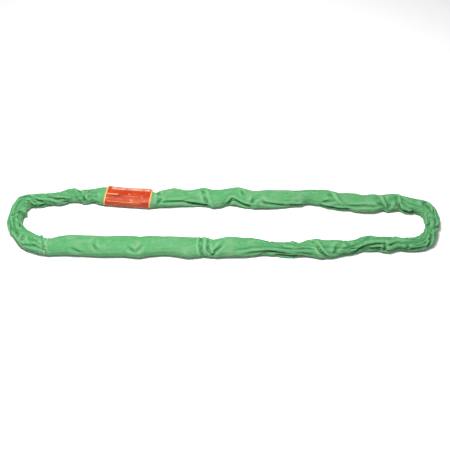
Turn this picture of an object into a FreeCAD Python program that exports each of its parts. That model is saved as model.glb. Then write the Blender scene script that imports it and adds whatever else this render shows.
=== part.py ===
"""A polyester round sling: an endless yarn core inside a double woven cover, lying in a long loop.

The core's middle line is one closed route of straight runs and tangent arcs, level with the floor.
It starts at the crown of the left bight and goes anticlockwise, seen from above. X is along the
loop, Y across it and Z up. The cover's flat underside is at Z = 0. Everything is in millimetres.
"""
import FreeCAD, Part
import math
import os

import Sketcher

from FreeCAD import Placement, Rotation, Vector

# Driving sizes: the alias of a cell, its value and what it measures.
SIZES = (
    ("lay_length", 862, "between the crowns of the two bights, on the middle line of the core"),
    ("lay_width", 140, "between the outermost runs of the two legs, on the same line"),
    ("cover_width", 42, "outer cover, across the flattened tube"),
    ("cover_height", 22, "outer cover, from the floor to its top"),
    ("outer_wall", 1.0, "woven outer cover"),
    ("inner_wall", 0.9, "woven inner cover"),
    ("layer_gap", 0.3, "between the two covers"),
    ("yarn_thickness", 3.1, "one turn of the core"),
    ("yarn_gap", 0.1, "between the turns of the core"),
    ("tape_length", 60, "tape that binds the yarn ends, along the core"),
    ("tape_wall", 0.4, "thickness of that tape"),
    ("tape_gap", 0.1, "between the core and the tape"),
    ("tape_distance", 330, "left crown to the middle of the tape, along the near leg"),
    ("label_length", 100, "label, along the far leg"),
    ("label_wall", 0.8, "thickness of the label"),
    ("label_gap", 0.1, "between the cover and the label"),
    ("label_lift", 5, "floor to the lower edges of the label"),
    ("label_distance", 269, "left crown to the middle of the label, along the far leg"),
    ("thread_thickness", 0.8, "sewing thread"),
    ("thread_gap", 0.05, "between a thread and the cloth under it"),
    ("stitch_length", 3.2, "one stitch"),
    ("stitch_gap", 1.4, "between two stitches of a row"),
    ("label_margin", 3.5, "edge of the label to its row of stitches"),
    ("seam_distance", 103, "left crown to the cover's closing seam, along the near leg"),
    ("seam_spacing", 7, "between the two rows of the closing seam"),
)

# The route's corners. In a bight: how far in from its crown, and how far across, as a share of
# half the lay width. On a leg: shares of half the lay length and of half the lay width.
LEFT_BIGHT_NEAR = ((0, -0.12), (19, -0.49), (53, -0.80))
NEAR_LEG = (
    (-0.76, -0.88), (-0.58, -0.86), (-0.40, -0.93), (-0.24, -0.89), (-0.05, -0.97),
    (0.12, -0.94), (0.26, -1.00), (0.40, -1.00), (0.56, -0.95), (0.70, -0.82),
)
RIGHT_BIGHT = ((56, -0.85), (18, -0.69), (0, -0.20), (0, 0.26), (18, 0.57), (58, 0.70))
FAR_LEG = (
    (0.74, 0.72), (0.58, 0.78), (0.44, 0.94), (0.30, 0.88), (0.14, 0.87), (0.02, 0.96),
    (-0.14, 0.94), (-0.30, 0.87), (-0.46, 0.92), (-0.62, 1.00), (-0.75, 1.00),
)
LEFT_BIGHT_FAR = ((51, 0.93), (21, 0.85), (2, 0.60), (0, 0.23))
ARC_SHARE = 0.45    # of the shorter run beside a corner, taken by the corner's arc

# The core is packed in a hexagon of 19 turns: how many turns lie in each row, from the bottom up.
TURNS_IN_ROW = (3, 4, 5, 4, 3)
HEXAGON_SIDE = 3
VOLUME_TOLERANCE = 0.002
ACROSS_X = Rotation(Vector(1, 0, 0), 90)    # stands a flat figure up, facing along Y


def add_sheet(doc):
    """The spreadsheet that every size is read from."""
    sheet = doc.addObject("Spreadsheet::Sheet", "Sizes")
    for row, (alias, value, meaning) in enumerate(SIZES, start=1):
        sheet.set(f"A{row}", meaning)
        sheet.set(f"B{row}", str(value))
        sheet.setAlias(f"B{row}", alias)
    doc.recompute()
    return sheet


def route_corners(sheet):
    """The corners of the route, anticlockwise from the crown of the left bight."""
    half_length = sheet.lay_length / 2
    half_width = sheet.lay_width / 2

    def bight(side, corners):
        return [Vector(side * (half_length - inset), across * half_width) for inset, across in corners]

    def leg(corners):
        return [Vector(along * half_length, across * half_width) for along, across in corners]

    return (bight(-1, LEFT_BIGHT_NEAR) + leg(NEAR_LEG) + bight(1, RIGHT_BIGHT)
            + leg(FAR_LEG) + bight(-1, LEFT_BIGHT_FAR))


def rounded_loop(corners):
    """Edges of a closed loop, from the middle of its last run: straight runs and tangent arcs."""
    start = (corners[-1] + corners[0]) / 2
    edges = []
    radii = []
    reached = start
    for i, corner in enumerate(corners):
        back = corners[i - 1] - corner
        onward = corners[(i + 1) % len(corners)] - corner
        reach = ARC_SHARE * min(back.Length, onward.Length)
        half_turn = (math.pi - back.getAngle(onward)) / 2
        back.normalize()
        onward.normalize()
        radius = reach / math.tan(half_turn)
        middle = corner + (back + onward).normalize() * (reach / math.sin(half_turn) - radius)
        entry = corner + back * reach
        leave = corner + onward * reach
        edges.append(Part.LineSegment(reached, entry).toShape())
        edges.append(Part.Arc(entry, middle, leave).toShape())
        radii.append(radius)
        reached = leave
    edges.append(Part.LineSegment(reached, start).toShape())
    print("route: length %.1f, radii %s" % (sum(edge.Length for edge in edges),
                                            " ".join("%.0f" % radius for radius in radii)))
    return edges


def station(edges, distance):
    """A place on the route: X onward along it, Y towards the inside of the loop, Z up."""
    distance %= sum(edge.Length for edge in edges)
    for edge in edges:
        if distance <= edge.Length:
            break
        distance -= edge.Length
    at = edge.getParameterByLength(distance)
    onward = edge.tangentAt(at)
    heading = math.degrees(math.atan2(onward.y, onward.x))
    return Placement(edge.valueAt(at), Rotation(Vector(0, 0, 1), heading))


def stretch(edges, first, last):
    """The part of the route between two distances along it, both on the same lap."""
    pieces = []
    for edge in edges:
        start = max(first, 0)
        end = min(last, edge.Length)
        if end - start > 1e-6:
            pieces.append(edge.Curve.toShape(edge.getParameterByLength(start),
                                             edge.getParameterByLength(end)))
        first -= edge.Length
        last -= edge.Length
    return pieces


def add_path(doc, name, edges):
    """A line for a section to be swept along, at the middle height of the cover."""
    path = doc.addObject("Part::Feature", name)
    path.Shape = Part.Wire(edges)
    path.setExpression("Placement.Base.z", "Sizes.cover_height / 2")
    return path


def add_oval(doc, name, place, outset):
    """The cover's flattened oval, set out or in by an expression, standing across a place."""
    sketch = doc.addObject("Sketcher::SketchObject", name)
    flat, end = 10, 11
    sketch.addGeometry(Part.LineSegment(Vector(-flat, -end), Vector(flat, -end)))
    sketch.addGeometry(arc_of_end(flat, end, -90))
    sketch.addGeometry(Part.LineSegment(Vector(flat, end), Vector(-flat, end)))
    sketch.addGeometry(arc_of_end(-flat, end, 90))
    for side in range(4):
        sketch.addConstraint(Sketcher.Constraint("Tangent", side, 2, (side + 1) % 4, 1))
    sketch.addConstraint(Sketcher.Constraint("Symmetric", 1, 3, 3, 3, -1, 1))
    sketch.addConstraint(Sketcher.Constraint("Horizontal", 0))
    sketch.addConstraint(Sketcher.Constraint("Equal", 1, 3))
    radius = sketch.addConstraint(Sketcher.Constraint("Radius", 1, end))
    flats = sketch.addConstraint(Sketcher.Constraint("DistanceX", 3, 3, 1, 3, 2 * flat))
    sketch.setExpression(f"Constraints[{radius}]", f"Sizes.cover_height / 2 + {outset}")
    sketch.setExpression(f"Constraints[{flats}]", "Sizes.cover_width - Sizes.cover_height")
    sketch.Placement = place * Placement(Vector(), Rotation(Vector(0, 0, 1), 90) * ACROSS_X)
    sketch.setExpression("Placement.Base.z", "Sizes.cover_height / 2")
    return sketch


def arc_of_end(middle, radius, first_degrees):
    """One round end of the oval."""
    circle = Part.Circle(Vector(middle, 0), Vector(0, 0, 1), radius)
    first = math.radians(first_degrees)
    return Part.ArcOfCircle(circle, first, first + math.pi)


def add_circle(doc, name, place, radius):
    """A circle standing across a place of the route, its radius an expression."""
    circle = doc.addObject("Part::Circle", name)
    circle.setExpression("Radius", radius)
    circle.Placement = place * Placement(Vector(), Rotation(Vector(0, 0, 1), 90) * ACROSS_X)
    circle.setExpression("Placement.Base.z", "Sizes.cover_height / 2")
    return circle


def add_sweep(doc, name, section, path):
    """A solid: a section carried along a path."""
    sweep = doc.addObject("Part::Sweep", name)
    sweep.Sections = [section]
    sweep.Spine = (path, [])
    sweep.Solid = True
    sweep.Frenet = False
    sweep.Transition = "Transformed"
    return sweep


def add_cut(doc, name, base, tool):
    """One solid less another."""
    cut = doc.addObject("Part::Cut", name)
    cut.Base = base
    cut.Tool = tool
    return cut


def add_cover(doc, name, path, place, outside, inside):
    """A tube of cloth, between two ovals whose outsets are expressions."""
    layers = []
    for side, outset in (("outside", outside), ("inside", inside)):
        oval = add_oval(doc, f"{name}_{side}_oval", place, outset)
        layers.append(add_sweep(doc, f"{name}_{side}", oval, path))
    return add_cut(doc, name, *layers)


def add_core_turn(doc, number, path, place, column, row):
    """One turn of the yarn, a number of half pitches across and a number of rows up."""
    circle = add_circle(doc, f"core_section_{number:02d}", place, "Sizes.yarn_thickness / 2")
    pitch = "(Sizes.yarn_thickness + Sizes.yarn_gap)"
    circle.setExpression("Placement.Base.x", f"-Sizes.lay_length / 2 + {column} * {pitch} / 2")
    circle.setExpression("Placement.Base.z",
                         f"Sizes.cover_height / 2 + {row} * {pitch} * sqrt(3) / 2")
    return add_sweep(doc, f"core_turn_{number:02d}", circle, path)


def add_core(doc, path, place):
    """The core: every turn of the endless yarn, in a hexagonal bundle."""
    turns = []
    middle_row = len(TURNS_IN_ROW) // 2
    for row, count in enumerate(TURNS_IN_ROW):
        for i in range(count):
            column = 2 * i - (count - 1)
            turns.append(add_core_turn(doc, len(turns) + 1, path, place, column, row - middle_row))
    return turns


def add_tape(doc, sheet, edges):
    """The tape wound round the core where the yarn's ends are joined."""
    first = sheet.tape_distance - sheet.tape_length / 2
    path = add_path(doc, "tape_path", stretch(edges, first, first + sheet.tape_length))
    place = station(edges, first)
    inside = (f"{HEXAGON_SIDE - 1} * (Sizes.yarn_thickness + Sizes.yarn_gap)"
              " + Sizes.yarn_thickness / 2 + Sizes.tape_gap")
    layers = []
    for side, radius in (("outside", f"{inside} + Sizes.tape_wall"), ("inside", inside)):
        circle = add_circle(doc, f"tape_{side}_circle", place, radius)
        layers.append(add_sweep(doc, f"tape_{side}", circle, path))
    return add_cut(doc, "core_end_tape", *layers)


def label_start(sheet, edges):
    """Distance along the route to the end of the label that is met first."""
    length = sum(edge.Length for edge in edges)
    return length - sheet.label_distance - sheet.label_length / 2


def add_label(doc, sheet, edges):
    """The label: wrapped over the top and both sides of the cover, and open underneath."""
    first = label_start(sheet, edges)
    path = add_path(doc, "label_path", stretch(edges, first, first + sheet.label_length))
    wrap = add_cover(doc, "label_wrap", path, station(edges, first),
                     "Sizes.label_gap + Sizes.label_wall", "Sizes.label_gap")
    below = doc.addObject("Part::Box", "below_label")
    below.setExpression("Length", "Sizes.lay_length")
    below.setExpression("Width", "Sizes.lay_width * 2")
    below.setExpression("Height", "Sizes.label_lift + Sizes.cover_height")
    below.setExpression("Placement.Base.x", "-Sizes.lay_length / 2")
    below.setExpression("Placement.Base.y", "-Sizes.lay_width")
    below.setExpression("Placement.Base.z", "-Sizes.cover_height")
    return add_cut(doc, "label", wrap, below)


def on_oval(sheet, outset, girth):
    """A point at a distance round the oval from the middle of its top: across, up and its tilt."""
    flat = (sheet.cover_width - sheet.cover_height) / 2
    radius = sheet.cover_height / 2 + outset
    side = math.copysign(1, girth)
    tilt = max(abs(girth) - flat, 0) / radius
    across = side * (min(abs(girth), flat) + radius * math.sin(tilt))
    return Vector(0, across, sheet.cover_height / 2 + radius * math.cos(tilt)), -side * tilt


def girth_of_edge(sheet, outset, lift):
    """Distance round the oval from the middle of its top to a height above the floor."""
    radius = sheet.cover_height / 2 + outset
    tilt = math.acos((lift - sheet.cover_height / 2) / radius)
    return (sheet.cover_width - sheet.cover_height) / 2 + radius * tilt


def stitch_place(sheet, edges, distance, outset, girth, lengthwise):
    """Where a stitch lies on the cloth, along the route or round the oval."""
    point, tilt = on_oval(sheet, outset, girth)
    lean = Rotation(Vector(1, 0, 0), math.degrees(tilt))
    axis = Vector(1, 0, 0) if lengthwise else Vector(0, 1, 0)
    lying = Placement(point, lean * Rotation(Vector(0, 0, 1), axis))
    centred = Placement(Vector(0, 0, -sheet.stitch_length / 2), Rotation())
    return station(edges, distance) * lying * centred


def spread(sheet, first, last):
    """Middles of the stitches in a row that fills the room between two distances."""
    pitch = sheet.stitch_length + sheet.stitch_gap
    count = int((last - first + sheet.stitch_gap) // pitch)
    middle = (first + last) / 2
    return [middle + (i - (count - 1) / 2) * pitch for i in range(count)]


def add_stitches(doc, name, places):
    """A row of sewing, as one group of thread lengths."""
    threads = []
    for i, place in enumerate(places, start=1):
        thread = doc.addObject("Part::Cylinder", f"{name}_{i:02d}")
        thread.setExpression("Radius", "Sizes.thread_thickness / 2")
        thread.setExpression("Height", "Sizes.stitch_length")
        thread.Placement = place
        threads.append(thread)
    row = doc.addObject("Part::Compound", name)
    row.Links = threads
    return row


def add_label_stitches(doc, sheet, edges):
    """The four rows that hold the label down: across its two ends and along its two edges."""
    outset = (sheet.label_gap + sheet.label_wall + sheet.thread_gap + sheet.thread_thickness / 2)
    first = label_start(sheet, edges)
    last = first + sheet.label_length
    edge_row = girth_of_edge(sheet, outset, sheet.label_lift) - sheet.label_margin
    end_rows = (("left", last - sheet.label_margin), ("right", first + sheet.label_margin))
    clear = sheet.stitch_length / 2 + sheet.thread_thickness
    rows = []
    for name, distance in end_rows:
        girths = spread(sheet, -edge_row + clear, edge_row - clear)
        places = [stitch_place(sheet, edges, distance, outset, girth, False) for girth in girths]
        rows.append(add_stitches(doc, f"label_stitches_{name}", places))
    for name, side in (("near", 1), ("far", -1)):
        distances = spread(sheet, first + sheet.label_margin, last - sheet.label_margin)
        places = [stitch_place(sheet, edges, distance, outset, side * edge_row, True)
                  for distance in distances]
        rows.append(add_stitches(doc, f"label_stitches_{name}", places))
    return rows


def add_closing_seam(doc, sheet, edges):
    """Two rows of stitches across the cover, where its ends overlap and are sewn together."""
    outset = sheet.thread_gap + sheet.thread_thickness / 2
    reach = girth_of_edge(sheet, outset, sheet.label_lift)
    places = []
    for side in (-1, 1):
        distance = sheet.seam_distance + side * sheet.seam_spacing / 2
        places += [stitch_place(sheet, edges, distance, outset, girth, False)
                   for girth in spread(sheet, -reach, reach)]
    return add_stitches(doc, "cover_seam_stitches", places)


def check_volume(piece, area, length):
    """Compare a swept solid with its section's area times the length of its own middle line."""
    expected = area * length
    if abs(piece.Shape.Volume / expected - 1) > VOLUME_TOLERANCE:
        raise ValueError(f"{piece.Label}: volume {piece.Shape.Volume:.0f}, expected {expected:.0f}")


def check_and_export(doc, pieces):
    """Check every object of the document, then write one file for each piece."""
    for item in doc.Objects:
        if "Invalid" in item.State or "Error" in item.State:
            raise ValueError(f"{item.Name}: {item.State}")
    for piece in pieces:
        if piece.Shape.isNull() or not piece.Shape.isValid():
            raise ValueError(f"{piece.Label}: its shape isn't valid")
    os.makedirs("parts", exist_ok=True)
    for piece in pieces:
        piece.Shape.exportStep(f"parts/{piece.Label}.step")
        print("%-24s solids %3d  volume %9.1f" % (piece.Label, len(piece.Shape.Solids),
                                                  piece.Shape.Volume))


def main():
    doc = FreeCAD.newDocument("RoundSling")
    sheet = add_sheet(doc)
    edges = rounded_loop(route_corners(sheet))
    route = add_path(doc, "route", edges)
    crown = station(edges, 0)
    outer_cover = add_cover(doc, "outer_cover", route, crown, "0", "-Sizes.outer_wall")
    inner_cover = add_cover(doc, "inner_cover", route, crown,
                            "-(Sizes.outer_wall + Sizes.layer_gap)",
                            "-(Sizes.outer_wall + Sizes.layer_gap + Sizes.inner_wall)")
    turns = add_core(doc, route, crown)
    tape = add_tape(doc, sheet, edges)
    label = add_label(doc, sheet, edges)
    rows = add_label_stitches(doc, sheet, edges)
    seam = add_closing_seam(doc, sheet, edges)
    doc.recompute()
    for turn in turns:
        inward = turn.Sections[0].Placement.Base.x + sheet.lay_length / 2
        check_volume(turn, math.pi * sheet.yarn_thickness ** 2 / 4,
                     route.Shape.Length - 2 * math.pi * inward)
    for cover in (outer_cover, inner_cover):
        area = (Part.Face(Part.Wire(cover.Base.Sections[0].Shape.Edges)).Area
                - Part.Face(Part.Wire(cover.Tool.Sections[0].Shape.Edges)).Area)
        check_volume(cover, area, route.Shape.Length)
    check_and_export(doc, [outer_cover, inner_cover, *turns, tape, label, *rows, seam])


main()
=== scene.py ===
"""The looks of the round sling: a loose woven cover in soft folds round its core, and a sewn label.

Everything is in metres. The cover is a grid of points: one way along the route that the core lies
on, from the crown of the left bight and anticlockwise seen from above, and the other way round the
tube, from the side inside the loop, over the top.
"""
import math

import bpy
import numpy as np
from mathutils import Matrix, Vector, noise


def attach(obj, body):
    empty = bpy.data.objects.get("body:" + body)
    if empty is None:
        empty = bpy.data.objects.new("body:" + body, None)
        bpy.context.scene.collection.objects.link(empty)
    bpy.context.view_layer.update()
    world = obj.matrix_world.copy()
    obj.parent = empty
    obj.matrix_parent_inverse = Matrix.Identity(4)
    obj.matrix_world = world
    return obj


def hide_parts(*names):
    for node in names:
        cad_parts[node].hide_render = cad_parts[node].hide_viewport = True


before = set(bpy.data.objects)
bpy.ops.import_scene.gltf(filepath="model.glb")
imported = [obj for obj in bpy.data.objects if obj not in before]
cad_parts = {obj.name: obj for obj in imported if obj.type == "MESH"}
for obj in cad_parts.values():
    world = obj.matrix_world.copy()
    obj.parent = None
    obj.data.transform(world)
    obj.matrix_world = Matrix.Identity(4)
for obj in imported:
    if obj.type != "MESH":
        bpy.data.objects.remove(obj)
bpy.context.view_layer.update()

MM = 0.001
BODY = "root"

# The route of the core, as the CAD part has it: the corners that its line is drawn from.
HALF_LENGTH = 0.431
HALF_WIDTH = 0.070
LEFT_BIGHT_NEAR = ((0, -0.12), (19, -0.49), (53, -0.80))
NEAR_LEG = (
    (-0.76, -0.88), (-0.58, -0.86), (-0.40, -0.93), (-0.24, -0.89), (-0.05, -0.97),
    (0.12, -0.94), (0.26, -1.00), (0.40, -1.00), (0.56, -0.95), (0.70, -0.82),
)
RIGHT_BIGHT = ((56, -0.85), (18, -0.69), (0, -0.20), (0, 0.26), (18, 0.57), (58, 0.70))
FAR_LEG = (
    (0.74, 0.72), (0.58, 0.78), (0.44, 0.94), (0.30, 0.88), (0.14, 0.87), (0.02, 0.96),
    (-0.14, 0.94), (-0.30, 0.87), (-0.46, 0.92), (-0.62, 1.00), (-0.75, 1.00),
)
LEFT_BIGHT_FAR = ((51, 0.93), (21, 0.85), (2, 0.60), (0, 0.23))

# How the cover lies, in millimetres: distance along the route, how far outside the core's middle
# line its own middle is, and its width on the floor. They were measured in the photo, and most of
# the rows are turning points of the outline. The distances are in steps of 5 mm.
COVER_LIE = (
    # the left bight and the closing seam
    (0, 6, 25), (35, 4, 30), (60, 6, 36), (85, 6, 36), (100, 9, 31), (110, 8, 38), (125, 3, 43),
    # the near leg: open and even, then gathered, with a wide fold in the middle of that
    (150, 0, 47), (215, 4, 47), (265, 1, 48), (295, 3, 49), (310, 0, 46), (345, 0, 42), (390, 4, 48),
    (425, 0, 43), (440, 4, 40), (470, -1, 46), (505, 1, 42), (520, -1, 40), (550, 1, 26), (570, 3, 23),
    (600, 3, 32), (615, 2, 27), (630, 0, 33), (650, 1, 45), (665, 4, 38), (680, 4, 38), (725, 3, 24),
    (745, -2, 27), (760, -2, 32), (775, 0, 28), (795, 3, 32), (810, -2, 29), (820, 2, 24),
    # the right bight
    (860, 5, 27), (880, 3, 29), (905, 1, 24), (935, 4, 32), (960, 9, 33), (975, 4, 31), (990, 0, 38),
    (1010, 5, 34), (1015, 8, 37),
    # the far leg, up to the label
    (1035, 2, 44), (1045, 4, 34), (1065, 1, 47), (1085, -2, 42), (1100, 1, 46), (1120, 3, 41),
    (1135, 1, 40), (1160, 5, 43), (1205, 7, 33), (1220, 3, 38), (1290, 3, 45), (1320, 0, 43),
    (1355, 8, 46), (1375, 5, 40), (1390, -1, 44), (1410, -2, 46), (1425, 5, 47), (1445, 4, 38),
    (1460, 3, 36), (1490, 7, 47), (1520, 3, 40), (1535, -2, 36), (1545, 2, 45), (1650, 4, 44),
    # from the label round to the left bight
    (1665, 4, 28), (1685, 0, 33), (1695, 3, 24), (1705, 8, 27), (1720, 4, 32), (1735, -2, 30),
    (1755, -3, 22), (1785, -2, 30), (1795, 1, 29), (1810, 10, 31), (1820, 8, 28), (1840, 4, 30),
)
# Folds pressed into the cover: depth and width in millimetres, then the places along it, each by
# distance in millimetres and degrees round. A negative depth is a raised fold. The places were
# found in the photo, and are in steps of 5 mm and 5 degrees.
FOLDS = (
    # left bight: the long gathers, the cross fold and the crease towards the seam
    (4.0, 3.0, (10, 135), (1850, 95), (1845, 35)), (3.0, 3.0, (5, 95), (25, 140), (40, 180)),
    (3.0, 3.0, (0, 70), (30, 100), (55, 130)), (4.0, 4.0, (55, 70), (60, 130)),
    (-2.0, 4.0, (60, 90), (75, 110)), (5.0, 4.0, (1855, 40), (25, 45), (50, 65)),
    (3.5, 4.0, (1815, 135), (1795, 85), (1765, 15)), (-2.5, 3.5, (1810, 90), (1790, 5)),
    (5.0, 5.0, (1825, 50), (1800, -10)), (2.5, 5.0, (65, 150), (90, 120)),
    # the closing seam and the near leg
    (2.5, 2.5, (95, 60), (105, 120), (110, 180)), (2.0, 6.0, (155, 125), (180, 170)),
    (2.0, 5.0, (200, 95), (210, 135)), (2.0, 5.0, (270, 105), (285, 140), (300, 90)),
    (3.5, 3.5, (415, 25), (415, 100), (420, 180)), (-1.5, 4.0, (425, 60), (425, 160)),
    (2.5, 3.5, (430, 60), (430, 115), (440, 180)), (3.0, 4.0, (460, 85), (445, 130), (440, 180)),
    (1.5, 6.0, (475, 140), (515, 115), (545, 110)), (2.5, 6.0, (500, 165), (565, 160), (610, 170)),
    (5.5, 5.0, (565, 190), (620, 195)), (-2.0, 5.0, (600, 40), (600, 75)),
    (4.0, 4.0, (640, 80), (650, 100), (655, 140), (665, 180)), (-2.0, 4.0, (650, 80), (660, 130)),
    (3.0, 5.0, (700, 70), (685, 110), (680, 160)), (2.0, 4.0, (705, 75), (715, 110)),
    (5.5, 4.5, (720, 185), (735, 150), (755, 130), (785, 115)), (4.5, 7.0, (740, 170), (780, 160)),
    (3.5, 3.5, (785, 100), (785, 200)), (3.5, 4.5, (785, 130), (810, 110), (860, 90)),
    (2.0, 4.0, (830, 105), (830, 165)),
    # right bight
    (4.5, 3.5, (885, 80), (875, 120), (865, 175)), (4.5, 6.0, (955, 90), (925, 60), (900, 60)),
    (-2.5, 4.0, (950, 110), (940, 40)), (3.0, 4.0, (895, 80), (910, 140)),
    (3.0, 5.0, (965, 130), (960, 60)), (2.5, 4.0, (930, 100), (905, 110)),
    # far leg
    (4.5, 4.5, (1020, 95), (1015, 45), (1005, 0)), (-2.0, 4.0, (1010, 110), (1010, 55), (1000, 15)),
    (4.5, 6.0, (1025, 90), (1035, 70), (1035, 5)), (-2.5, 4.0, (1050, 115), (1045, 65), (1035, 20)),
    (3.0, 5.0, (1060, 100), (1055, 70), (1045, 30)), (4.5, 5.0, (1010, 5), (985, -10), (950, 5)),
    (2.5, 5.0, (1120, 25), (1085, 50), (1050, 40)), (-2.0, 5.0, (1155, 120), (1145, 85), (1130, 45)),
    (3.0, 5.0, (1160, 100), (1150, 65), (1175, 20)), (5.0, 5.0, (1245, 0), (1215, -10)),
    (5.0, 5.0, (1180, -10), (1115, -10)), (3.5, 5.0, (1430, 110), (1425, 70), (1420, 10)),
    (5.0, 5.0, (1460, 5), (1415, -10)), (5.0, 5.0, (1375, -5), (1365, 40), (1345, 10), (1325, 0)),
    (2.0, 3.5, (1350, 110), (1340, 80)), (3.0, 4.5, (1325, 30), (1320, 75), (1305, 90)),
    (3.0, 5.0, (1305, 65), (1295, 30), (1250, 0)), (3.0, 5.0, (1515, 35), (1480, 30), (1445, 5)),
    (3.5, 4.5, (1530, 150), (1520, 70), (1525, 10)), (2.5, 5.0, (1670, 90), (1655, 50)),
    (4.5, 4.5, (1695, 130), (1695, 90), (1685, 45), (1680, -5)), (-2.0, 5.0, (1680, 90), (1675, 20)),
    (3.5, 4.5, (1770, 110), (1745, 55), (1725, 40)), (4.5, 5.0, (1720, 10), (1690, 10)),
)
# Places where one part of the cover lies over the next: distance along, the degrees round between
# which it does, how far it stands over, over what length it fades, and 1 if the part further along
# is on top, or -1 if the part before is.
TUCKS = (
    (1842, -50, 75, 4.5, 22, -1), (101, -60, 240, 1.1, 30, -1), (909, 20, 175, 1.6, 14, 1),
    (958, -10, 120, 1.2, 18, 1), (1014, 20, 160, 1.4, 12, -1), (1672, 10, 150, 1.4, 16, -1),
)
# Small corners of cloth that stand out: distance along, degrees round, height, size.
TUFTS = ((88, 25, 4.0, 2.8), (99, 20, -3.5, 3.6), (784, 190, 3.0, 4.0), (600, 35, 1.6, 7.0))
# How the threads of the cover turn round the core: distance along and degrees of turn.
TWIST = ((0, 0), (60, 50), (110, 0), (400, 0), (560, 40), (700, -30), (860, 30), (930, 110),
         (1000, 40), (1060, -30), (1150, 20), (1300, 0), (1640, 0), (1700, 150), (1770, -20))

COVER_GIRTH = 0.120         # round the tube, where it lies open
COVER_LENGTH = 1.93         # of the cover's tube, before it is gathered onto the core
COVER_WALL = 0.0010
LAYER_GAP = 0.0002
INNER_WALL = 0.0007
INNER_LEAST = 0.0106        # the inner cover is laid as if the outer one were at least this far out
INNER_GIRTH = 0.094
WIDE, WIDE_HEIGHT = 0.044, 0.0225       # the tube's height where it is wide, and where narrow
NARROW, NARROW_HEIGHT = 0.022, 0.0212
SQUARENESS = 0.80           # 1 is an ellipse, and less has fuller shoulders
CORE_MIDDLE = 0.011         # the core's middle line over the floor
CORE_ROOM = (0.0109, 0.0107)            # half the width and height that the cover leaves the core
GATHER_DEEP = 3.0 * MM      # folds along the cover, where it is narrowest, and where it lies open
GATHER_SHALLOW = 0.5 * MM
CRUMPLE_DEEP = 0.8 * MM     # folds across it, where it goes round a bight
ALONG = 540                 # points along the cover and round it, in the simulation
AROUND = 36
HOLD_WEIGHT = 0.5           # how firmly the settling cloth keeps to where it is laid
HOLD_STIFFNESS = 22.0
BENDING = 5.0
SETTLE_FRAMES = 12
CONTACT = 0.8 * MM          # how far off each other the settling cloth and what it rests on stay
TABLE_DROP = 1.5 * MM       # how far under the floor the cloth's table is while it settles
STAND_IN = (230, 10, 8.3 * MM)          # of the core's stand-in: points along, points round, radius
LAID_FOLDS = 0.8            # the share of the folds' depth that is pressed in before settling
SETTLED_FOLDS = 0.55        # and the shares of folds, tucks and gathers that are pressed in after it
SETTLED_TUCKS = 0.4
SETTLED_GATHERS = 0.35
LAID_UNDERSIDE = 1.6        # how fully the underside takes the folds, before settling and after it
SETTLED_UNDERSIDE = 1.5
LABEL_MIDDLE = 1.589        # along the route
LABEL_LENGTH = 0.100
LABEL_WIDTH = 0.062         # over the cover, from one long edge to the other
LABEL_STITCHES = (13, 20)   # in each row across the label, and in each row along it
LABEL_WALL = 0.8 * MM
LABEL_GAP = 0.3 * MM
LABEL_TURN = (-34, 150)     # degrees round the cover of its two long edges
LABEL_SLANT = 0.005         # how far its far edge is along from its near edge
LABEL_LIFT = 2.2 * MM       # how far the ends of its far edge stand up
HEM_WIDTH = 0.0028
SEAM_PLACE = 0.103
LABEL_GRID = (61, 45)       # points along the label and up it
LABEL_MARGIN = (0.028, 0.045)           # from its ends and its long edges to the stitches, as shares
ROW_MARGIN = (0.035, 0.045) # from its long edges and its ends to where a row of stitches starts
SEAM_BESIDE = 3 * MM        # from the tucked edge to the middle of the closing zigzag
SEAM_SWAY = 2.0 * MM
SEAM_TURNS = (-25, 205)     # degrees round the cover between which the zigzag runs
SEAM_STITCHES = 30
THREAD = 0.8 * MM
STITCH = 0.0032
# The greens: deep for painted shade in the weave's hollows and in folds, base, and light for streaks
# and painted highlights on ribs and ridges.
COVER_GREENS = ((0.018, 0.125, 0.034), (0.096, 0.322, 0.128), (0.205, 0.460, 0.240))   # deep to light
INNER_GREENS = ((0.030, 0.150, 0.050), (0.100, 0.360, 0.140), (0.190, 0.500, 0.240))
CAMERA_AIM = (0.003, -0.0095, 0.011)
CAMERA_DISTANCE = 1.296
CAMERA_ELEVATION = 50       # degrees
WORLD_LIGHT = 0.27
# The lights: name, place, size in metres and power in watts. Each is turned to the sling's middle.
LIGHTS = (("key_light", (-0.30, -0.08, 1.50), 0.5, 37.0), ("fill_light", (0.9, 0.5, 1.3), 1.2, 2.0))


# ---------------------------------------------------------------- the route

def route_corners():
    """The control points of the route, in metres."""
    def bight(side, corners):
        return [(side * (HALF_LENGTH - inset * MM), across * HALF_WIDTH) for inset, across in corners]

    def leg(corners):
        return [(along * HALF_LENGTH, across * HALF_WIDTH) for along, across in corners]

    return (bight(-1, LEFT_BIGHT_NEAR) + leg(NEAR_LEG) + bight(1, RIGHT_BIGHT)
            + leg(FAR_LEG) + bight(-1, LEFT_BIGHT_FAR))


def route_line():
    """Points on the route's smooth closed line, from the crown of the left bight."""
    curve = bpy.data.curves.new("route", "CURVE")
    curve.dimensions = "3D"
    spline = curve.splines.new("NURBS")
    corners = route_corners()
    spline.points.add(len(corners) - 1)
    for point, (x, y) in zip(spline.points, corners):
        point.co = (x, y, 0, 1)
    spline.order_u = 3
    spline.use_cyclic_u = True
    curve.resolution_u = 24
    holder = bpy.data.objects.new("route", curve)
    mesh = bpy.data.meshes.new_from_object(holder)
    line = np.array([v.co[:] for v in mesh.vertices])
    bpy.data.objects.remove(holder)
    bpy.data.meshes.remove(mesh)
    bpy.data.curves.remove(curve)
    crown = (np.array(corners[0]) + np.array(corners[-1])) / 2
    first = np.linalg.norm(line[:, :2] - crown, axis=1).argmin()
    return np.roll(line, -first, axis=0)


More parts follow.
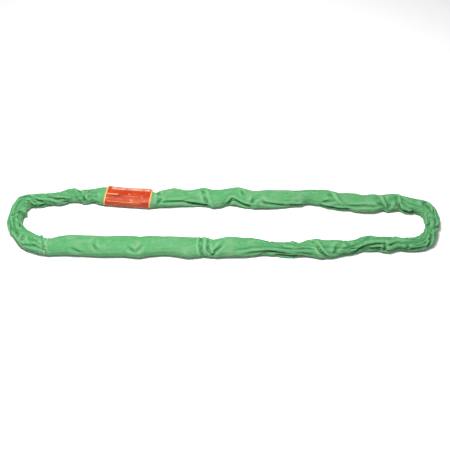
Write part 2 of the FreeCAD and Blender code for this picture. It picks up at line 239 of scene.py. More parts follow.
class Route:
    """Places along the route by distance."""

    def __init__(self):
        line = route_line()
        self.line = np.vstack([line, line[:1]])
        steps = np.linalg.norm(np.diff(self.line, axis=0), axis=1)
        self.reached = np.concatenate([[0], np.cumsum(steps)])
        self.length = self.reached[-1]

    def at(self, distance):
        """Points on the line, and the level directions along it and towards the loop's inside."""
        distance = np.asarray(distance, float)

        def point(d):
            d = np.mod(d, self.length)
            return np.stack([np.interp(d, self.reached, self.line[:, k]) for k in range(3)], -1)

        along = point(distance + 2 * MM) - point(distance - 2 * MM)
        along /= np.linalg.norm(along, axis=-1, keepdims=True)
        inward = np.stack([-along[..., 1], along[..., 0], 0 * along[..., 0]], -1)
        return point(distance), along, inward

    def past(self, distance, place):
        """How far distances along are past a place, the short way round."""
        return np.mod(distance - place + self.length / 2, self.length) - self.length / 2

    def bend(self, distance):
        """How sharply the route turns, as one over the radius, evened out."""
        reach = 12 * MM
        _, before, _ = self.at(distance - reach)
        _, after, _ = self.at(distance + reach)
        return np.linalg.norm(after - before, axis=-1) / (2 * reach)


def smoothed_round(values, reach):
    """Values round a loop, smoothed over a number of places each way."""
    offsets = np.arange(-3 * reach, 3 * reach + 1)
    weights = np.exp(-0.5 * (offsets / reach) ** 2)
    weights /= weights.sum()
    return sum(w * np.roll(values, k, axis=0) for w, k in zip(weights, offsets))


def degrees_from(degrees, place):
    """Degrees round the tube from a place, between -180 and 180."""
    return np.mod(degrees - place + 180, 360) - 180


def step_up(values, low, high):
    """0 below low, 1 above high, and smooth between."""
    share = np.clip((values - low) / (high - low), 0, 1)
    return share * share * (3 - 2 * share)


# ---------------------------------------------------------------- the cover's shape

def lie_at(route, distance):
    """How far out the cover's middle lies, its width and its height, at distances along."""
    table = np.array(COVER_LIE) * MM
    fine = np.linspace(0, route.length, 1858, endpoint=False)
    out = smoothed_round(np.interp(fine, table[:, 0], table[:, 1], period=route.length), 3)
    width = smoothed_round(np.interp(fine, table[:, 0], table[:, 2], period=route.length), 3)
    out = np.interp(distance, fine, out, period=route.length)
    width = np.interp(distance, fine, width, period=route.length)
    height = np.interp(width, (NARROW, WIDE), (NARROW_HEIGHT, WIDE_HEIGHT))
    return out, width, height


def fold_depth(route, distance, degrees):
    """How far the pressed folds and tufts push the cover in at each point, in metres."""
    radius = COVER_GIRTH / (2 * math.pi)
    depth = np.zeros(np.broadcast(distance, degrees).shape)
    for deep, wide, *places in FOLDS:
        width = wide * MM
        start = places[0][0] * MM
        here = route.past(distance, start)
        turned = np.radians(degrees_from(degrees, places[0][1])) * radius
        corners = [(route.past(s * MM, start), math.radians(turn - places[0][1]) * radius)
                   for s, turn in places]
        spans = [math.hypot(b[0] - a[0], b[1] - a[1]) for a, b in zip(corners[:-1], corners[1:])]
        nearest, share, gone = np.full(depth.shape, 1.0), np.zeros(depth.shape), 0.0
        for (x, y), (x2, y2), span in zip(corners[:-1], corners[1:], spans):
            t = np.clip(((here - x) * (x2 - x) + (turned - y) * (y2 - y)) / span ** 2, 0, 1)
            away = np.hypot(here - x - t * (x2 - x), turned - y - t * (y2 - y))
            share = np.where(away < nearest, (gone + t * span) / sum(spans), share)
            nearest = np.minimum(away, nearest)
            gone += span
        taper = np.sin(np.clip(np.minimum(share, 1 - share) / 0.25, 0, 1) * math.pi / 2)
        valley = np.exp(-(nearest / (0.62 * width)) ** 2)
        ridge = np.exp(-((nearest - 1.7 * width) / (0.9 * width)) ** 2)
        depth += deep * MM * (0.25 + 0.75 * taper) * (valley - 0.28 * ridge)
    for place, turn, height, size in TUFTS:
        here = route.past(distance, place * MM)
        turned = np.radians(degrees_from(degrees, turn)) * radius
        depth -= height * MM * np.exp(-(here ** 2 + turned ** 2) / (size * MM) ** 2)
    return depth


def tuck_height(route, distance, degrees):
    """How far the parts that lie over their neighbours stand out, in metres."""
    height = np.zeros(np.broadcast(distance, degrees).shape)
    for place, low, high, stand, fade, side in TUCKS:
        past = route.past(distance, place * MM) * side
        middle, half = (low + high) / 2, (high - low) / 2
        span = 1 - step_up(np.abs(degrees_from(degrees, middle)), half - 20, half + 10)
        over = step_up(past, -1.2 * MM, 1.2 * MM) * np.exp(-np.maximum(past, 0) / (fade * MM))
        under = -0.4 * np.exp(-np.abs(past + 3 * MM) / (4 * MM)) * (past < 0)
        height += stand * MM * span * (over + under)
    return height


def ring_noise(route, distance, turn, long_size, round_size, seed):
    """Smooth noise over the tube, whose lumps have a size along it and a size round it."""
    ring = route.length / (2 * math.pi * long_size)
    tube = COVER_GIRTH / (2 * math.pi * round_size)
    angle = distance / route.length * 2 * math.pi
    x = (ring + tube * np.cos(turn)) * np.cos(angle) + seed
    y = (ring + tube * np.cos(turn)) * np.sin(angle)
    z = tube * np.sin(turn) + 0 * angle
    values = [noise.noise(Vector(p)) for p in np.stack([x, y, z], -1).reshape(-1, 3).tolist()]
    return np.array(values).reshape(x.shape)


def gathers(route, distance, turn):
    """How far the loose folds press the cover in: along it where it is narrow, across it in bends."""
    table = np.array(TWIST, float)
    twist = np.radians(np.interp(distance, table[:, 0] * MM, table[:, 1], period=route.length))
    _, width, _ = lie_at(route, distance)
    slack = 1 - step_up(width, 27 * MM, 47 * MM)
    near_label = np.abs(route.past(distance, LABEL_MIDDLE)) - LABEL_LENGTH / 2
    free = step_up(near_label, 2 * MM, 14 * MM)
    folds = 0
    for long_size, round_size, share, seed in ((0.070, 0.0130, 0.75, 1.7), (0.030, 0.0070, 0.25, 9.2)):
        lumps = ring_noise(route, distance, turn + twist, long_size, round_size, seed)
        folds = folds + share * (np.exp(-(lumps / 0.10) ** 2) - 0.8 * np.abs(lumps))
    deep = GATHER_SHALLOW + (GATHER_DEEP - GATHER_SHALLOW) * slack
    bend = smoothed_round(route.bend(distance), 4) * 40 * MM
    lumps = ring_noise(route, distance, turn, 0.012, 0.030, 4.4)
    crumple = np.exp(-(lumps / 0.12) ** 2) - 0.6 * np.abs(lumps)
    inside = 0.35 + 0.65 * np.clip(np.cos(turn), 0, 1)
    across = CRUMPLE_DEEP * np.clip(bend, 0, 1) * inside * crumple
    return free * (deep * folds + across)


def oval(width, height, turn):
    """Across and up for a point of a flattened tube, by its angle round."""
    c, s = np.cos(turn), np.sin(turn)
    across = width / 2 * np.sign(c) * np.abs(c) ** SQUARENESS
    up = height / 2 * np.sign(s) * np.abs(s) ** SQUARENESS
    return across, up


def places_on(route, along_count, around_count):
    """Distance along and turn round of each point of a grid."""
    distance = np.arange(along_count)[:, None] / along_count * route.length
    turn = np.arange(around_count)[None, :] / around_count * 2 * math.pi
    return distance, turn


def cover_grid(route):
    """The cover as it is laid, before it settles: points by place along and turn round."""
    distance, turn = places_on(route, ALONG, AROUND)
    middle, _, inward = route.at(distance[:, 0])
    out, width, height = lie_at(route, distance)
    degrees = np.degrees(turn)
    pressed = (LAID_FOLDS * fold_depth(route, distance, degrees) - tuck_height(route, distance, degrees)
               + gathers(route, distance, turn))
    pressed = pressed * np.clip(LAID_UNDERSIDE + np.sin(turn), 0, 1)
    across, up = oval(width, height, turn)
    reach = np.hypot(across, up)
    shrink = np.maximum(1 - pressed / reach, 0.45)
    across, up = across * shrink, up * shrink
    grid = middle[:, None] + inward[:, None] * (across - out)[..., None]
    grid[..., 2] += height / 2 + up
    return grid


def rest_grid():
    """The cover's cloth at its cut size: an even tube, closed into a round ring."""
    angle = np.arange(ALONG)[:, None] / ALONG * 2 * math.pi
    turn = np.arange(AROUND)[None, :] / AROUND * 2 * math.pi
    radius = COVER_GIRTH / (2 * math.pi)
    ring = COVER_LENGTH / (2 * math.pi) - radius * np.cos(turn)
    return np.stack([ring * np.cos(angle), ring * np.sin(angle),
                     radius * np.sin(turn) + 0 * angle], -1)


def clear_of_core(route, grid, room):
    """The grid, with any point that is too near the core moved out, and none under the floor."""
    distance, _ = places_on(route, *grid.shape[:2])
    middle, along, inward = route.at(distance[:, 0])
    middle = middle + np.array([0, 0, CORE_MIDDLE])
    away = grid - middle[:, None]
    lengthwise = (away * along[:, None]).sum(-1, keepdims=True) * along[:, None]
    across = (away * inward[:, None]).sum(-1)
    reach = np.hypot(across / room[0], away[..., 2] / room[1])
    grown = (away - lengthwise) * (np.maximum(1, 1 / np.maximum(reach, 0.2)))[..., None]
    grid = middle[:, None] + lengthwise + grown
    grid[..., 2] = np.maximum(grid[..., 2], 0)
    return grid


def finished_skin(route, grid):
    """The settled grid, twice as fine, with its sharp creases and the room for the core."""
    grid[..., 2] -= np.percentile(grid[..., 2], 1)
    grid = doubled(grid)
    distance, turn = places_on(route, *grid.shape[:2])
    degrees = np.degrees(turn)
    pressed = (SETTLED_FOLDS * fold_depth(route, distance, degrees)
               - SETTLED_TUCKS * tuck_height(route, distance, degrees))
    pressed = pressed + SETTLED_GATHERS * gathers(route, distance, turn)
    pressed = pressed * np.clip(SETTLED_UNDERSIDE + np.sin(turn), 0, 1)
    grid = grid - grid_normals(grid) * pressed[..., None]
    return clear_of_core(route, grid, CORE_ROOM)


# ---------------------------------------------------------------- meshes

def ring_faces(along_count, around_count):
    """Quads of a grid that closes both along and round."""
    i, j = np.meshgrid(np.arange(along_count), np.arange(around_count), indexing="ij")
    i2, j2 = (i + 1) % along_count, (j + 1) % around_count
    quads = np.stack([i * around_count + j, i * around_count + j2,
                      i2 * around_count + j2, i2 * around_count + j], -1)
    return quads.reshape(-1, 4)


def new_object(name, points, faces, smooth=True):
    """A mesh object from points and faces."""
    mesh = bpy.data.meshes.new(name)
    mesh.from_pydata(np.asarray(points).reshape(-1, 3).tolist(), [], [list(face) for face in faces])
    mesh.update()
    if smooth:
        mesh.polygons.foreach_set("use_smooth", [True] * len(mesh.polygons))
    piece = bpy.data.objects.new(name, mesh)
    bpy.context.scene.collection.objects.link(piece)
    return piece


def grid_normals(grid):
    """Outward directions of a closed grid of points."""
    along = np.roll(grid, -1, 0) - np.roll(grid, 1, 0)
    around = np.roll(grid, -1, 1) - np.roll(grid, 1, 1)
    normal = np.cross(around, along)
    return normal / np.maximum(np.linalg.norm(normal, axis=-1, keepdims=True), 1e-12)


def midpoints(grid, axis):
    """Smooth points halfway between neighbours of a closed grid, along one axis."""
    before, here = np.roll(grid, 1, axis), grid
    after, beyond = np.roll(grid, -1, axis), np.roll(grid, -2, axis)
    return (9 * (here + after) - before - beyond) / 16


def doubled(grid):
    """A closed grid with twice as many points each way, smooth through the ones it had."""
    for axis in (0, 1):
        between = midpoints(grid, axis)
        stacked = np.stack([grid, between], axis + 1)
        shape = list(grid.shape)
        shape[axis] *= 2
        grid = stacked.reshape(shape)
    return grid


def evened(grid, times):
    """A closed grid of points, each moved towards its neighbours a number of times."""
    for _ in range(times):
        for axis in (0, 1):
            grid = (np.roll(grid, 1, axis) + 2 * grid + np.roll(grid, -1, axis)) / 4
    return grid


def tube_with_wall(name, outside, inside, length, girth):
    """A tube of cloth with a real wall: two closed grids, and its weave's coordinates in metres."""
    faces_out = ring_faces(*outside.shape[:2])
    faces_in = ring_faces(*inside.shape[:2])[:, ::-1] + outside.shape[0] * outside.shape[1]
    points = np.concatenate([outside.reshape(-1, 3), inside.reshape(-1, 3)])
    piece = new_object(name, points, np.concatenate([faces_out, faces_in]))
    corners = []
    for (n, m), flip in ((outside.shape[:2], False), (inside.shape[:2], True)):
        i, j = np.meshgrid(np.arange(n), np.arange(m), indexing="ij")
        quad = [(i, j), (i, j + 1), (i + 1, j + 1), (i + 1, j)]
        quad = quad[::-1] if flip else quad
        corners.append(np.stack([np.stack([a / n * length, b / m * girth], -1)
                                 for a, b in quad], 2).reshape(-1, 2))
    layer = piece.data.uv_layers.new(name="Weave")
    layer.data.foreach_set("uv", np.concatenate(corners).reshape(-1))
    return piece


def mark_folds(route, piece, outside, inside_count):
    """Store how deep in a fold each point is and how far the cover is gathered, for the painted shade
    in folds and where gathered, and the painted highlight on ridges, in the cloth's colour.
    """
    deep = ((evened(outside, 8) - outside) * grid_normals(outside)).sum(-1) / MM
    distance, _ = places_on(route, *outside.shape[:2])
    _, width, _ = lie_at(route, distance)
    gathered_shading = 1 - step_up(width, 26 * MM, 44 * MM) + 0 * deep
    for name, values in (("fold_shading", deep), ("gathered_shading", gathered_shading)):
        values = np.concatenate([values.reshape(-1), np.zeros(inside_count)])
        piece.data.attributes.new(name, "FLOAT", "POINT").data.foreach_set("value", values)


class Skin:
    """Points on the finished cover by distance along and degrees round."""

    def __init__(self, route, grid):
        self.length, self.grid, self.normals = route.length, grid, grid_normals(evened(grid, 2))

    def at(self, distance, degrees, lift=0.0):
        """Points that stand a lift off the cover."""
        n, m = self.grid.shape[:2]
        a, b = np.broadcast_arrays(np.mod(distance, self.length) / self.length * n,
                                   np.mod(degrees, 360) / 360 * m)
        i, j = np.floor(a).astype(int), np.floor(b).astype(int)
        s, t = (a - i)[..., None], (b - j)[..., None]

        def between(values):
            near = values[i % n, j % m] * (1 - t) + values[i % n, (j + 1) % m] * t
            far = values[(i + 1) % n, j % m] * (1 - t) + values[(i + 1) % n, (j + 1) % m] * t
            return near * (1 - s) + far * s

        return between(self.grid) + between(self.normals) * np.asarray(lift)[..., None]


# ---------------------------------------------------------------- settling the cover

def settle(route, grid):
    """Let the cover settle as cloth of its cut size, held near where it lies, round the core."""
    cover = new_object("settling", grid, ring_faces(ALONG, AROUND))
    cover.shape_key_add(name="Basis")
    cut = cover.shape_key_add(name="cut")
    cut.data.foreach_set("co", rest_grid().reshape(-1))
    cut.value = 0
    held = cover.vertex_groups.new(name="held")
    distance, _ = places_on(route, ALONG, AROUND)
    from_label = np.abs(route.past(distance[:, 0], LABEL_MIDDLE)) - LABEL_LENGTH / 2
    for i in range(ALONG):
        weight = 1.0 if from_label[i] < 5 * MM else HOLD_WEIGHT
        held.add(list(range(i * AROUND, (i + 1) * AROUND)), weight, "REPLACE")
    cloth = cover.modifiers.new("cloth", "CLOTH")
    cloth.point_cache.frame_end = SETTLE_FRAMES
    settings = cloth.settings
    settings.quality = 6
    settings.mass = 0.0004
    settings.tension_stiffness = 25
    settings.compression_stiffness = 25
    settings.shear_stiffness = 8
    settings.bending_model = "ANGULAR"
    settings.bending_stiffness = BENDING
    settings.tension_damping = 5
    settings.compression_damping = 5
    settings.shear_damping = 5
    settings.bending_damping = 0.5
    settings.vertex_group_mass = "held"
    settings.pin_stiffness = HOLD_STIFFNESS
    settings.rest_shape_key = cut
    settings.air_damping = 2
    touching = cloth.collision_settings
    touching.distance_min = CONTACT
    touching.collision_quality = 2
    core = solid_core(route)
    bpy.ops.mesh.primitive_plane_add(size=3, location=(0, 0, -TABLE_DROP))
    table = bpy.context.object
    for thing in (core, table):
        thing.modifiers.new("collision", "COLLISION")
        thing.collision.thickness_outer = CONTACT
    for step in range(1, SETTLE_FRAMES + 1):
        bpy.context.scene.frame_set(step)
    seen = cover.evaluated_get(bpy.context.evaluated_depsgraph_get())
    mesh = seen.to_mesh()
    flat = np.empty(len(mesh.vertices) * 3)
    mesh.vertices.foreach_get("co", flat)
    seen.to_mesh_clear()
    for thing in (cover, core, table):
        data = thing.data
        bpy.data.objects.remove(thing)
        bpy.data.meshes.remove(data)
    bpy.context.scene.frame_set(1)
    return flat.reshape(ALONG, AROUND, 3)


def solid_core(route):
    """A plain ring in the place of the core, for the cover to settle on."""
    count, sides, radius = STAND_IN
    middle, _, inward = route.at(np.arange(count) / count * route.length)
    turn = np.arange(sides) / sides * 2 * math.pi
    points = middle[:, None] + inward[:, None] * (radius * np.cos(turn))[None, :, None]
    points[..., 2] += CORE_MIDDLE + radius * np.sin(turn)
    return new_object("core_stand_in", points, ring_faces(count, sides))


# ---------------------------------------------------------------- pieces

def make_cover(route, skin_grid):
    """The outer cover: the settled cloth, with its wall."""
    inside = (skin_grid - grid_normals(evened(skin_grid, 1)) * COVER_WALL)[::2, ::2]
    cover = tube_with_wall("cover", skin_grid, inside, COVER_LENGTH, COVER_GIRTH)
    mark_folds(route, cover, skin_grid, inside.shape[0] * inside.shape[1])
    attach(cover, BODY)
    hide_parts("outer_cover")
    return cover


def make_inner(route, skin_grid):
    """The inner cover: it follows the outer one from inside, clear of its deepest folds."""
    coarse = skin_grid[::4, ::3]
    distance, _ = places_on(route, *coarse.shape[:2])
    middle, _, _ = route.at(distance[:, 0])
    middle = middle + np.array([0, 0, CORE_MIDDLE])
    away = coarse - middle[:, None]
    reach = np.linalg.norm(away, axis=-1, keepdims=True)
    least = reach
    for axis in (0, 1, 0, 1):
        least = np.minimum(least, np.minimum(np.roll(least, 1, axis), np.roll(least, -1, axis)))
    least = np.maximum(np.minimum(evened(least, 1), least), INNER_LEAST)

    def shell(depth):
        return middle[:, None] + away / reach * (least - depth)

    outside = shell(COVER_WALL + LAYER_GAP)
    inside = shell(COVER_WALL + LAYER_GAP + INNER_WALL)
    inner = tube_with_wall("inner_tube", outside, inside, COVER_LENGTH, INNER_GIRTH)
    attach(inner, BODY)
    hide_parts("inner_cover")
    return inner


def label_place(u, v):
    """Distance along and degrees round of a point of the label, by its shares along and up."""
    distance = LABEL_MIDDLE + (u - 0.5) * LABEL_LENGTH - (v - 0.5) * LABEL_SLANT
    return distance, LABEL_TURN[0] + v * (LABEL_TURN[1] - LABEL_TURN[0])


def label_points(skin, u, v, lift):
    """Points that stand a lift off the label's underside."""
    distance, degrees = label_place(u, v)
    ends = 0.35 + 0.65 * (2 * u - 1) ** 2
    standing = LABEL_LIFT * step_up(v, 0.72, 1.0) * ends
    return skin.at(distance, degrees, LABEL_GAP + standing + lift)


def make_label(skin):
    """The label: a stiff coated cloth wrapped over the cover, its edges sewn down."""
    n, m = LABEL_GRID
    u, v = np.meshgrid(np.linspace(0, 1, n), np.linspace(0, 1, m), indexing="ij")
    under, over = label_points(skin, u, v, 0.0), label_points(skin, u, v, LABEL_WALL)
    i, j = np.meshgrid(np.arange(n - 1), np.arange(m - 1), indexing="ij")
    quad = [i * m + j, i * m + j + 1, (i + 1) * m + j + 1, (i + 1) * m + j]
    top = np.stack(quad, -1).reshape(-1, 4)
    below = top[:, ::-1] + n * m
    rim = (list(range(m)) + [k * m + m - 1 for k in range(1, n)]
           + [(n - 1) * m + k for k in range(m - 2, -1, -1)] + [k * m for k in range(n - 2, 0, -1)])
    rim = np.array(rim)
    after = np.roll(rim, -1)
    edge = np.stack([rim, rim + n * m, after + n * m, after], -1)
    label = new_object("label_cloth", np.concatenate([over.reshape(-1, 3), under.reshape(-1, 3)]),
                       np.concatenate([top, below, edge]))
    flat = np.tile(np.stack([u * LABEL_LENGTH, v * LABEL_WIDTH], -1).reshape(-1, 2), (2, 1))
    layer = label.data.uv_layers.new(name="Print")
    corners = np.empty(len(label.data.loops), int)
    label.data.loops.foreach_get("vertex_index", corners)
    layer.data.foreach_set("uv", flat[corners].reshape(-1))
    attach(label, BODY)
    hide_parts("label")
    return label


def thread_tubes(name, paths, radius, sides=8):
    """A row of stitches: one small tube along each path, with rounded ends."""
    points, faces = [], []
    turn = np.arange(sides) / sides * 2 * math.pi
    for path in paths:
        along = np.gradient(path, axis=0)
        along /= np.linalg.norm(along, axis=1, keepdims=True)
        aside = np.cross(along, [0.0, 0.0, 1.0])
        aside /= np.maximum(np.linalg.norm(aside, axis=1, keepdims=True), 1e-9)
        upward = np.cross(aside, along)
        share = np.linspace(-1, 1, len(path))
        size = radius * np.sqrt(np.clip(1.06 - share ** 4, 0.05, 1))
        rings = (path[:, None] + size[:, None, None] * (aside[:, None] * np.cos(turn)[None, :, None]
                                                       + upward[:, None] * np.sin(turn)[None, :, None]))
        base = sum(len(p) for p in points)
        points.append(rings.reshape(-1, 3))
        for k in range(len(path) - 1):
            for s in range(sides):
                t = (s + 1) % sides
                a, b = base + k * sides, base + (k + 1) * sides
                faces.append((a + s, a + t, b + t, b + s))
        faces.append(tuple(base + s for s in range(sides))[::-1])
        faces.append(tuple(base + (len(path) - 1) * sides + s for s in range(sides)))
    return new_object(name, np.concatenate(points), faces)


def new_thread(name, node, paths):
    """A row of stitches as a piece, in place of its plain node."""
    thread = thread_tubes(name, paths, THREAD / 2)
    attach(thread, BODY)
    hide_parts(node)
    return thread


def stitch_path(point_at, start, end):
    """One stitch: up out of the cloth, along it, and down again."""
    path = []
    for share, lift in ((0.0, -0.45), (0.14, 0.3), (0.4, 0.55), (0.6, 0.55), (0.86, 0.3), (1.0, -0.45)):
        place = [a + (b - a) * share for a, b in zip(start, end)]
        path.append(point_at(place[0], place[1], lift * THREAD))
    return np.array(path)


def make_label_threads(skin):
    """The four rows of stitches that hold the label."""
    stitch_u, stitch_v = STITCH / LABEL_LENGTH, STITCH / LABEL_WIDTH
    margin_u, margin_v = LABEL_MARGIN
    first_v, first_u = ROW_MARGIN

    def at(u, v, lift):
        return label_points(skin, np.array(u), np.array(v), LABEL_WALL + lift)

    rows = []
    for name, u in (("right", margin_u), ("left", 1 - margin_u)):
        starts = np.linspace(first_v, 1 - first_v - stitch_v, LABEL_STITCHES[0])
        rows.append((name, [stitch_path(at, (u, v), (u, v + stitch_v)) for v in starts]))
    for name, v in (("near", margin_v), ("far", 1 - margin_v)):
        starts = np.linspace(first_u, 1 - first_u - stitch_u, LABEL_STITCHES[1])
        rows.append((name, [stitch_path(at, (u, v), (u + stitch_u, v)) for u in starts]))
    return [new_thread(f"label_thread_{name}", f"label_stitches_{name}", paths)
            for name, paths in rows]


def make_seam_thread(skin):
    """The zigzag that closes the cover, beside its tucked edge."""
    def at(distance, degrees, lift):
        return skin.at(np.array(distance), np.array(degrees), lift)

    turns = np.linspace(*SEAM_TURNS, SEAM_STITCHES + 1)
    middle = SEAM_PLACE + SEAM_BESIDE
    paths = []
    for k, (start, end) in enumerate(zip(turns[:-1], turns[1:])):
        sway = SEAM_SWAY if k % 2 else -SEAM_SWAY
        paths.append(stitch_path(at, (middle - sway, start), (middle + sway, end)))
    return new_thread("cover_seam_thread", "cover_seam_stitches", paths)


# ---------------------------------------------------------------- materials

class Nodes:
    """A material's node tree, and short ways to add to it."""

    def __init__(self, name, roughness, sheen=0.0, coat=0.0, specular=0.5):
        self.material = bpy.data.materials.new(name)
        self.material.use_nodes = True
        self.tree = self.material.node_tree
        self.shader = self.tree.nodes["Principled BSDF"]
        self.shader.inputs["Roughness"].default_value = roughness
        self.shader.inputs["Sheen Weight"].default_value = sheen
        self.shader.inputs["Sheen Roughness"].default_value = 0.5
        self.shader.inputs["Coat Weight"].default_value = coat
        self.shader.inputs["Coat Roughness"].default_value = 0.28
        self.shader.inputs["Specular IOR Level"].default_value = specular

    def add(self, kind, **settings):
        node = self.tree.nodes.new("ShaderNode" + kind)
        for key, value in settings.items():
            setattr(node, key, value)
        return node

    def link(self, value, socket):
        if hasattr(value, "is_output"):
            self.tree.links.new(value, socket)
        else:
            socket.default_value = value

    def math(self, operation, a, b=0.0, clamp=False):
        node = self.add("Math", operation=operation, use_clamp=clamp)
        self.link(a, node.inputs[0])
        self.link(b, node.inputs[1])
        return node.outputs[0]

    def noise(self, scale, detail=2.0, vector=None, roughness=0.5):
        node = self.add("TexNoise")
        node.inputs["Scale"].default_value = scale
        node.inputs["Detail"].default_value = detail
        node.inputs["Roughness"].default_value = roughness
        self.link(vector or self.place(), node.inputs["Vector"])
        return node.outputs["Fac"]

    def place(self):
        """Coordinates of the piece itself, in metres."""
        return self.add("TexCoord").outputs["Object"]

    def across_and_up(self, uv_name):
        split = self.add("SeparateXYZ")
        self.link(self.add("UVMap", uv_map=uv_name).outputs["UV"], split.inputs[0])
        return split.outputs["X"], split.outputs["Y"]

    def wave(self, value, pitch, phase=0.0):
        """A sine of a length, between -1 and 1."""
        turned = self.math("MULTIPLY_ADD", value, 2 * math.pi / pitch)
        turned.node.inputs[2].default_value = phase
        return self.math("SINE", turned)

    def spread(self, value, low, high, to_low=0.0, to_high=1.0):
        node = self.add("MapRange", clamp=True)
        for socket, number in zip(node.inputs[1:5], (low, high, to_low, to_high)):
            socket.default_value = number
        self.link(value, node.inputs[0])
        return node.outputs[0]

    def mix(self, share, a, b, blend="MIX"):
        node = self.add("Mix", data_type="RGBA", blend_type=blend)
        self.link(share, node.inputs[0])
        self.link((*a, 1) if isinstance(a, tuple) else a, node.inputs[6])
        self.link((*b, 1) if isinstance(b, tuple) else b, node.inputs[7])
        return node.outputs[2]

    def inside(self, value, low, high, soft=0.0002):
        """1 where a length is between two limits."""
        above = self.spread(value, low - soft, low + soft)
        under = self.spread(value, high - soft, high + soft, 1.0, 0.0)
        return self.math("MULTIPLY", above, under)

    def bump(self, height, distance, strength=1.0):
        node = self.add("Bump")
        node.inputs["Strength"].default_value = strength
        node.inputs["Distance"].default_value = distance
        self.link(height, node.inputs["Height"])
        self.link(node.outputs[0], self.shader.inputs["Normal"])

    def finish(self, colour, *pieces):
        self.link(colour, self.shader.inputs["Base Color"])
        for piece in pieces:
            if piece.data.materials:
                for k in range(len(piece.data.materials)):
                    piece.material_slots[k].material = self.material
            else:
                piece.data.materials.append(self.material)


def weave_material(name, deep, base, light, *pieces):
    """A coarse plain weave of green polyester: over and under, with ribs and wear, painted shade in the
    weave's hollows, in folds and where the cover is gathered, and painted highlights on the ribs and
    the folds' ridges.
    """
    n = Nodes(name, 0.72, sheen=0.06, specular=0.25)
    n.shader.inputs["Sheen Tint"].default_value = (0.75, 1.0, 0.8, 1)
    x, y = n.across_and_up("Weave")
    over = n.math("MULTIPLY", n.wave(x, 2.6 * MM), n.wave(y, 2.4 * MM))
    rib = n.wave(x, 5.2 * MM)
    threads = n.math("MULTIPLY", n.wave(x, 0.65 * MM), n.wave(y, 0.6 * MM))
    height = n.math("MULTIPLY_ADD", rib, 0.30)
    n.link(over, height.node.inputs[2])
    height = n.math("MULTIPLY_ADD", threads, 0.18)
    n.link(over, height.node.inputs[2])
    fold_shading = n.add("Attribute", attribute_name="fold_shading").outputs["Fac"]
    gathered_shading = n.add("Attribute", attribute_name="gathered_shading").outputs["Fac"]
    patches = n.noise(26.0, 3.0)
    streaks = n.noise(240.0, 2.0)
    duller = tuple(c * k for c, k in zip(base, (0.62, 0.93, 0.72)))
    shade = n.mix(n.spread(patches, 0.32, 0.62), base, duller)
    faded = (base[0] * 1.9, base[1] * 1.08, base[2] * 1.35)
    shade = n.mix(n.spread(n.noise(44.0, 3.0), 0.50, 0.68, 0.0, 0.8), shade, faded)
    # Painted shade: a darker, deeper green where the cover is gathered and its folds crowd.
    gathered_shade_green = tuple(c * k for c, k in zip(base, (0.45, 0.78, 0.62)))
    shade = n.mix(n.math("MULTIPLY", gathered_shading, 0.75), shade, gathered_shade_green)
    shade = n.mix(n.spread(streaks, 0.40, 0.75, 0.0, 0.35), shade, light)
    # Painted shade where the threads dip under each other, and a painted highlight along the ribs.
    shade = n.mix(n.spread(over, -1.0, 1.0, 0.42, 0.0), shade, deep)
    shade = n.mix(n.spread(rib, 0.2, 1.0, 0.0, 0.10), shade, light)
    # Painted shade in the folds' valleys, and a painted highlight on their ridges.
    shade = n.mix(n.spread(fold_shading, 0.1, 1.1, 0.0, 0.72), shade, deep)
    shade = n.mix(n.spread(fold_shading, -0.9, -0.15, 0.42, 0.0), shade, light)
    n.link(n.spread(n.noise(90.0, 3.0), 0.3, 0.7, 0.62, 0.82), n.shader.inputs["Roughness"])
    n.bump(height, 0.22 * MM, 0.9)
    n.finish(shade, *pieces)


def label_material(label):
    """Coated orange cloth with pale hems, plain printed rules and blocks, and a pale band along its top
    painted as the reflection of the light.
    """
    n = Nodes("label_orange", 0.5, coat=0.06, specular=0.2)
    x, y = n.across_and_up("Print")
    fabric = n.math("MULTIPLY", n.wave(x, 0.9 * MM), n.wave(y, 0.9 * MM))
    orange = n.mix(n.spread(n.noise(60.0, 3.0), 0.35, 0.65), (0.41, 0.040, 0.005), (0.34, 0.030, 0.004))
    pale = (0.80, 0.34, 0.12)
    cream = (0.72, 0.40, 0.13)
    smudge = n.spread(n.noise(420.0, 3.0), 0.42, 0.62)
    rules = 0.0
    for low, high, start, end in ((0.0205, 0.0225, 0.022, 0.094), (0.0165, 0.0172, 0.016, 0.070),
                                  (0.0385, 0.0405, 0.072, 0.096), (0.0365, 0.0371, 0.028, 0.060),
                                  (0.0245, 0.0251, 0.010, 0.040)):
        rule = n.math("MULTIPLY", n.inside(y, low, high), n.inside(x, start, end, 0.0006))
        rules = n.math("MAXIMUM", rules, rule)
    colour = n.mix(n.math("MULTIPLY", rules, n.spread(smudge, 0.0, 1.0, 0.45, 0.95)), orange, pale)
    # Painted reflection: a pale, patchy band along the label's top, where the coated cloth would mirror
    # the light.
    painted_glare_band = n.math("MULTIPLY", n.inside(y, 0.0485, 0.0570, 0.0010), n.inside(x, 0.006, 0.090, 0.0010))
    faded = n.spread(n.noise(120.0, 3.0), 0.35, 0.60, 0.35, 0.85)
    colour = n.mix(n.math("MULTIPLY", painted_glare_band, faded), colour, (0.62, 0.34, 0.25))
    block = n.math("MULTIPLY", n.inside(y, 0.0340, 0.0375), n.inside(x, 0.067, 0.084))
    gaps = n.spread(n.wave(x, 3.6 * MM), -0.75, -0.45)
    dark = n.math("MULTIPLY", n.math("MULTIPLY", block, gaps), 0.92)
    colour = n.mix(dark, colour, (0.035, 0.012, 0.01))
    ends = n.math("ADD", n.inside(x, -1.0, HEM_WIDTH), n.inside(x, LABEL_LENGTH - HEM_WIDTH, 1.0))
    colour = n.mix(n.math("MULTIPLY", ends, 0.85), colour, cream)
    worn = n.spread(n.noise(150.0, 4.0), 0.60, 0.74, 0.0, 0.30)
    colour = n.mix(worn, colour, (0.82, 0.50, 0.38))
    n.link(n.spread(n.noise(70.0, 2.0), 0.3, 0.7, 0.34, 0.52), n.shader.inputs["Roughness"])
    n.bump(fabric, 0.06 * MM, 0.7)
    n.finish(colour, label)


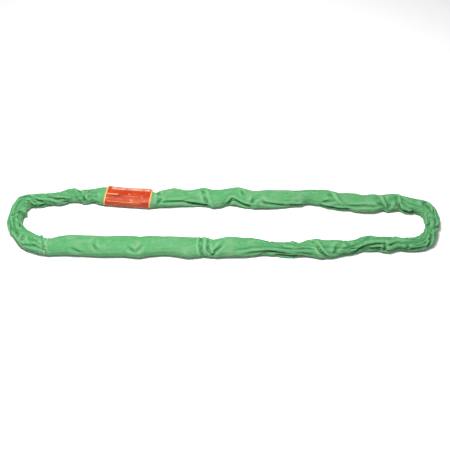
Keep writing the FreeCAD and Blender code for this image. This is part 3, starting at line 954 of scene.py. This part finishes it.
def thread_material(name, base, dark, *pieces):
    """Twisted sewing thread: fine slanting plies, with painted shade in the grooves between them."""
    n = Nodes(name, 0.6, sheen=0.2)
    split = n.add("SeparateXYZ")
    n.link(n.place(), split.inputs[0])
    slanting = n.math("ADD", split.outputs["X"], split.outputs["Y"])
    slanting = n.math("ADD", slanting, split.outputs["Z"])
    plies = n.wave(slanting, 0.7 * MM)
    # Painted shade in the grooves between the plies.
    colour = n.mix(n.spread(plies, -1.0, 0.6, 0.55, 0.0), base, dark)
    colour = n.mix(n.spread(n.noise(300.0), 0.4, 0.7, 0.0, 0.3), colour, dark)
    n.bump(plies, 0.08 * MM, 0.8)
    n.finish(colour, *pieces)


def yarn_material(pieces):
    """The core's load yarn: bundled undyed filaments."""
    n = Nodes("core_yarn_white", 0.5, sheen=0.4)
    strands = n.noise(900.0, 4.0)
    tone = n.noise(40.0, 2.0)
    colour = n.mix(n.spread(tone, 0.3, 0.7), (0.80, 0.78, 0.70), (0.70, 0.67, 0.57))
    colour = n.mix(n.spread(strands, 0.35, 0.6, 0.5, 0.0), colour, (0.52, 0.49, 0.40))
    n.link(n.spread(strands, 0.3, 0.7, 0.42, 0.66), n.shader.inputs["Roughness"])
    n.bump(strands, 0.3 * MM, 0.8)
    n.finish(colour, *pieces)


def tape_material(piece):
    """Glossy packing tape, slightly creased, over the yarn's ends."""
    n = Nodes("binding_tape_cream", 0.3, coat=0.3)
    creases = n.noise(180.0, 4.0)
    colour = n.mix(n.spread(creases, 0.35, 0.65), (0.80, 0.74, 0.55), (0.68, 0.60, 0.40))
    n.link(n.spread(creases, 0.3, 0.7, 0.22, 0.42), n.shader.inputs["Roughness"])
    n.bump(creases, 0.25 * MM, 0.6)
    n.finish(colour, piece)


def floor_material(floor):
    """Plain pale studio floor."""
    n = Nodes("pale_floor", 0.9, specular=0.1)
    n.finish((0.93, 0.93, 0.93, 1), floor)


# ---------------------------------------------------------------- the scene

def stage():
    """Floor, light and camera."""
    floor = new_object("floor", [(-4, -4, 0), (4, -4, 0), (4, 4, 0), (-4, 4, 0)], [(0, 1, 2, 3)], False)
    floor_material(floor)
    world = bpy.data.worlds.new("studio")
    world.use_nodes = True
    world.node_tree.nodes["Background"].inputs["Color"].default_value = (1, 1, 1, 1)
    world.node_tree.nodes["Background"].inputs["Strength"].default_value = WORLD_LIGHT
    bpy.context.scene.world = world
    bpy.context.scene.view_settings.view_transform = "Standard"
    for name, place, size, power in LIGHTS:
        light = bpy.data.lights.new(name, "AREA")
        light.size = size
        light.energy = power
        lamp = bpy.data.objects.new(name, light)
        lamp.location = place
        lamp.rotation_euler = (-Vector(place)).to_track_quat("-Z", "Y").to_euler()
        bpy.context.scene.collection.objects.link(lamp)
    camera = bpy.data.cameras.new("camera")
    camera.lens = 50
    camera.sensor_width = 36
    holder = bpy.data.objects.new("camera", camera)
    elevation = math.radians(CAMERA_ELEVATION)
    aim = Vector(CAMERA_AIM)
    back = Vector((0, -math.cos(elevation), math.sin(elevation)))
    holder.location = aim + CAMERA_DISTANCE * back
    holder.rotation_euler = (aim - holder.location).to_track_quat("-Z", "Y").to_euler()
    bpy.context.scene.collection.objects.link(holder)
    bpy.context.scene.camera = holder


def main():
    route = Route()
    grid = cover_grid(route)
    grid = settle(route, grid)
    skin_grid = finished_skin(route, grid)
    skin = Skin(route, skin_grid)
    cover = make_cover(route, skin_grid)
    inner = make_inner(route, skin_grid)
    label = make_label(skin)
    label_threads = make_label_threads(skin)
    seam_thread = make_seam_thread(skin)
    weave_material("cover_green", *COVER_GREENS, cover)
    weave_material("inner_green", *INNER_GREENS, inner)
    label_material(label)
    thread_material("thread_cream", (0.84, 0.60, 0.32), (0.55, 0.33, 0.14), *label_threads)
    thread_material("thread_pale_green", (0.42, 0.66, 0.44), (0.16, 0.40, 0.20), seam_thread)
    turns = [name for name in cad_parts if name.startswith("core_turn")]
    yarn_material([bpy.data.objects[name] for name in turns])
    tape_material(bpy.data.objects["core_end_tape"])
    stage()


main()
